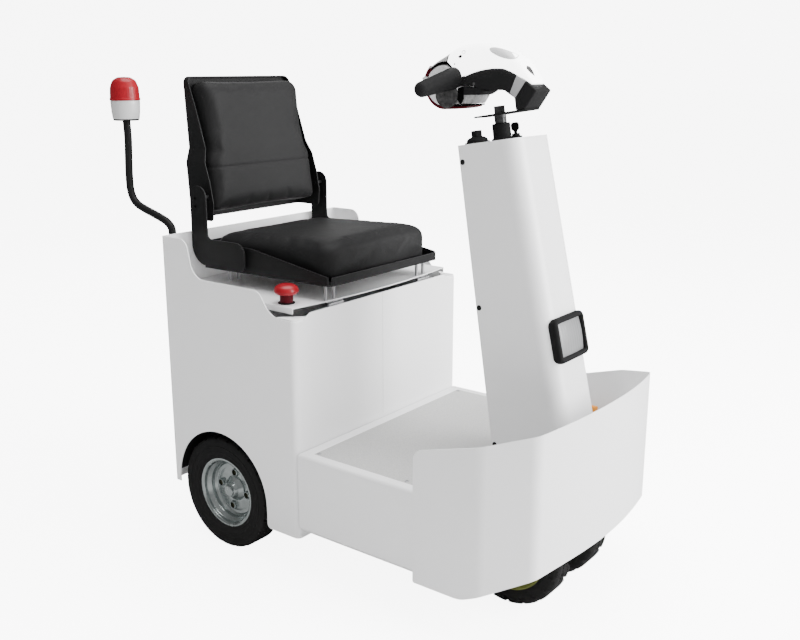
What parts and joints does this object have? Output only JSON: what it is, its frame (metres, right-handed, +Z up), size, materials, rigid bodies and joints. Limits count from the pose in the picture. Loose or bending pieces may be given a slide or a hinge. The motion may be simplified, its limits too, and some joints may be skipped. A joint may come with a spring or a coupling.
{
  "type": "ride-on electric airport baggage tug",
  "caption": "Seated electric tug with a box body, tiller-steered twin front wheel, footboard behind a raked skirt and a rear towing jaw, for pulling baggage carts.",
  "frame": {"origin": "on the floor, in the middle of the overall length and width", "axes": "+X forward, +Y to the driver's left, +Z up"},
  "size_m": [1.592, 0.806, 1.5323],
  "materials": {
    "white_paint": "satin",
    "deck_grey": "matte",
    "black_steel": "satin",
    "black_plastic": "matte",
    "white_plastic": "gloss",
    "red_plastic": "gloss",
    "seat_cover": "satin",
    "tyre": "matte",
    "zinc": "satin",
    "lime_paint": "satin",
    "lamp_lens": "satin",
    "steel": "satin",
    "frame_paint": "satin",
    "battery_case": "matte"
  },
  "bodies": {
    "chassis": {"chassis_frame": "frame_paint", "body_shell_right": "white_paint", "body_shell_left": "white_paint", "rear_panel": "white_paint", "lid_ledges": "white_paint", "wheel_well_right": "frame_paint", "wheel_well_left": "frame_paint", "deck_pan": "white_paint", "deck_plate": "deck_grey", "front_skirt": "white_paint", "column_cover": "white_paint", "column_back": "white_paint", "column_top_plate": "white_paint", "steering_bearing": "steel", "direction_switch": "black_plastic", "key_switch": "black_plastic", "headlight_housing": "black_plastic", "headlight_lens": "lamp_lens", "kingpin_bearing": "frame_paint", "rear_axle": "frame_paint", "drive_motor": "frame_paint", "battery_pack": "battery_case", "tow_jaw": "frame_paint", "beacon_pole": "black_steel", "beacon_base": "white_plastic", "beacon_lens": "red_plastic", "hinge_fixed": "steel"},
    "seat_lid": {"seat_plate": "white_paint", "hinge_moving": "steel", "seat_studs": "steel", "seat_pan": "black_steel", "seat_brackets": "black_steel", "seat_cushion": "seat_cover", "emergency_button": "red_plastic"},
    "backrest": {"back_pan": "black_steel", "back_cushion": "seat_cover"},
    "steering": {"steering_shaft": "steel", "tiller_plate": "black_steel", "tiller_arm": "black_plastic", "tiller_cover": "white_plastic", "tiller_drum": "white_plastic", "belly_switch": "red_plastic", "tiller_grips": "black_plastic"},
    "front_carrier": {"front_fork": "frame_paint"},
    "front_wheels": {"front_axle": "steel", "front_tyre_right": "tyre", "front_tyre_left": "tyre", "front_rim_right": "lime_paint", "front_rim_left": "lime_paint"},
    "rear_wheel_right": {"rear_tyre_right": "tyre", "rear_rim_right": "zinc", "rear_hub_right": "zinc"},
    "rear_wheel_left": {"rear_tyre_left": "tyre", "rear_rim_left": "zinc", "rear_hub_left": "zinc"}
  },
  "joints": [
    {"name": "rear_right_spin", "type": "hinge", "parent": "chassis", "child": "rear_wheel_right", "pos_m": [-0.318, -0.353, 0.18], "axis": [0, 1, 0], "continuous": true},
    {"name": "rear_left_spin", "type": "hinge", "parent": "chassis", "child": "rear_wheel_left", "pos_m": [-0.318, 0.353, 0.18], "axis": [0, 1, 0], "continuous": true},
    {"name": "steering_turn", "type": "hinge", "parent": "chassis", "child": "steering", "pos_m": [0.424, 0, 1.279], "axis": [-0.1564, 0, 0.9877], "range_deg": [-45, 45]},
    {"name": "front_turn", "type": "hinge", "parent": "chassis", "child": "front_carrier", "pos_m": [0.561, 0, 0.36], "axis": [0, 0, 1], "range_deg": [-45, 45]},
    {"name": "front_spin", "type": "hinge", "parent": "front_carrier", "child": "front_wheels", "pos_m": [0.561, 0, 0.168], "axis": [0, 1, 0], "continuous": true},
    {"name": "seat_lid_open", "type": "hinge", "parent": "chassis", "child": "seat_lid", "pos_m": [0.0015, 0, 0.805], "axis": [0, 1, 0], "range_deg": [0, 35]},
    {"name": "backrest_fold", "type": "hinge", "parent": "seat_lid", "child": "backrest", "pos_m": [-0.492, 0, 1.078], "axis": [0, 1, 0], "range_deg": [0, 90]}
  ],
  "couplings": [
    {"joint": "front_turn", "follows": "steering_turn", "ratio": 1}
  ]
}
